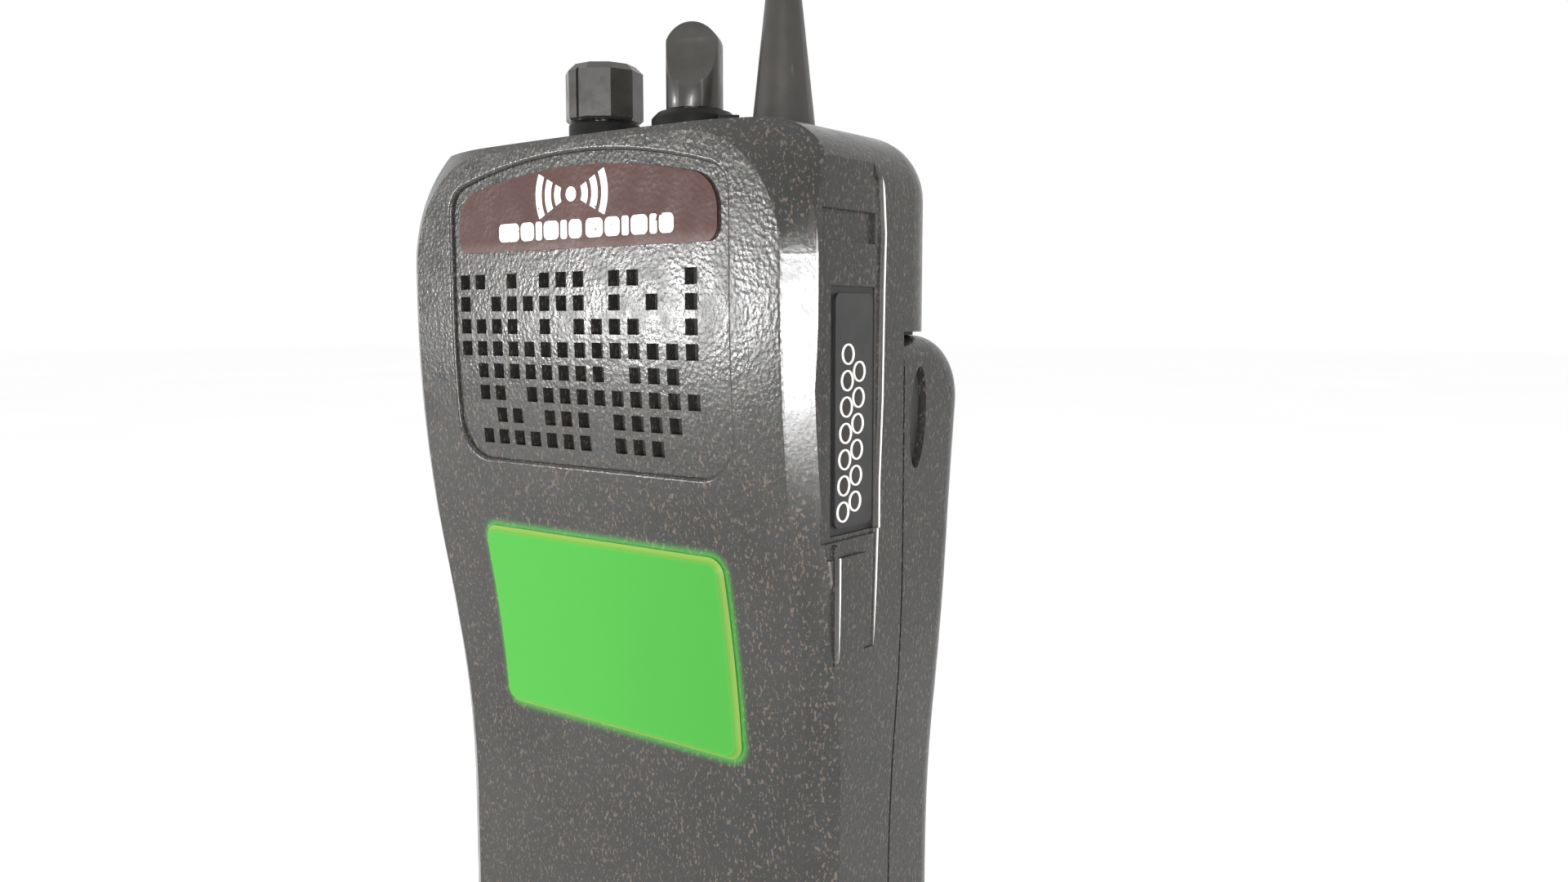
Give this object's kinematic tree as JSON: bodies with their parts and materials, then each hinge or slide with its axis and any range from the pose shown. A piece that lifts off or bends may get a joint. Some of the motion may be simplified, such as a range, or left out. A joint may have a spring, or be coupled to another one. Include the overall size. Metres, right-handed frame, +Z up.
{
  "type": "toy walkie talkie",
  "caption": "Toy handheld radio with speckled case, lit display, top knobs, tapered antenna, sliding battery pack and belt clip.",
  "frame": {"origin": "on the base face, beside the seam between radio and battery pack", "axes": "+Z up the body towards the antenna, -Y out of the speaker face, +X towards the accessory connector"},
  "size_m": [0.0638, 0.04, 0.235],
  "materials": {
    "speckled_body": "speckled",
    "dark_plastic": "satin",
    "knob_plastic": "gloss",
    "antenna_rubber": "satin",
    "plate_maroon": "satin",
    "display_green": "gloss",
    "grille_cloth": "matte",
    "connector_grey": "satin",
    "contact_white": "gloss",
    "contact_dark": "matte",
    "circuit_green": "satin",
    "component_black": "matte",
    "steel": "satin",
    "brass": "satin"
  },
  "bodies": {
    "housing": {"front_housing": "speckled_body", "rear_chassis": "dark_plastic", "grille_mesh": "grille_cloth", "name_plate": "plate_maroon", "display_lens": "display_green", "display_panel": "display_green", "light_guide": "display_green", "backlight_lamps": "display_green", "circuit_board": "circuit_green", "radio_chips": "component_black", "crystal_can": "steel", "capacitors": "component_black", "tuning_coils": "steel", "speaker_basket": "steel", "speaker_magnet": "steel", "speaker_cone": "grille_cloth", "speaker_gasket": "antenna_rubber", "speaker_wires": "component_black", "microphone": "component_black", "volume_potentiometer": "steel", "channel_switch": "steel", "volume_collar": "knob_plastic", "talk_switch": "component_black", "talk_dome": "antenna_rubber", "antenna_sheath": "antenna_rubber", "antenna_wire": "brass", "antenna_stud": "brass", "antenna_nut": "steel", "connector_panel": "connector_grey", "contact_rings": "contact_white", "contact_pads": "contact_dark", "chassis_screws": "steel", "board_screws": "steel", "battery_springs": "brass", "battery_wires": "component_black"},
    "battery_pack": {"battery_case": "speckled_body", "battery_cover": "dark_plastic", "battery_cells": "component_black", "cell_straps": "brass", "protection_board": "circuit_green", "pack_contacts": "brass", "pack_screws": "steel", "clip_base": "dark_plastic", "clip_pin": "steel", "clip_spring": "steel", "release_spring_right": "steel", "release_spring_left": "steel"},
    "belt_clip": {"clip_lever": "dark_plastic"},
    "release_right": {"release_button_right": "dark_plastic"},
    "release_left": {"release_button_left": "dark_plastic"},
    "volume": {"volume_knob": "knob_plastic", "volume_shaft": "steel"},
    "channel": {"channel_knob": "knob_plastic", "channel_shaft": "steel"},
    "zone": {"zone_ring": "knob_plastic"},
    "talk": {"talk_button": "dark_plastic"}
  },
  "joints": [
    {"name": "volume_turn", "type": "hinge", "parent": "housing", "child": "volume", "pos_m": [-0.0113, -0.0015, 0.158], "axis": [0, 0, -1], "range_deg": [0, 270]},
    {"name": "channel_turn", "type": "hinge", "parent": "housing", "child": "channel", "pos_m": [0.0036, -0.0015, 0.158], "axis": [0, 0, -1], "range_deg": [-168.75, 168.75]},
    {"name": "zone_turn", "type": "hinge", "parent": "housing", "child": "zone", "pos_m": [0.0036, -0.0015, 0.152], "axis": [0, 0, -1], "range_deg": [-30, 30]},
    {"name": "talk_press", "type": "slide", "parent": "housing", "child": "talk", "axis": [1, 0, 0], "range_m": [0, 0.001], "stiffness_N_per_m": 2000, "deforming": ["talk_dome"]},
    {"name": "battery_slide", "type": "slide", "parent": "housing", "child": "battery_pack", "axis": [0, 0, -1], "range_m": [0, 0.12]},
    {"name": "release_right_press", "type": "slide", "parent": "battery_pack", "child": "release_right", "axis": [-1, 0, 0], "range_m": [0, 0.0012], "stiffness_N_per_m": 1500, "deforming": ["release_spring_right"]},
    {"name": "release_left_press", "type": "slide", "parent": "battery_pack", "child": "release_left", "axis": [1, 0, 0], "range_m": [0, 0.0012], "stiffness_N_per_m": 1500, "deforming": ["release_spring_left"]},
    {"name": "clip_swing", "type": "hinge", "parent": "battery_pack", "child": "belt_clip", "pos_m": [0, 0.0176, 0.1075], "axis": [1, 0, 0], "range_deg": [0, 15], "stiffness_Nm_per_rad": 0.3, "springref_deg": -5.73, "deforming": ["clip_spring"]}
  ]
}
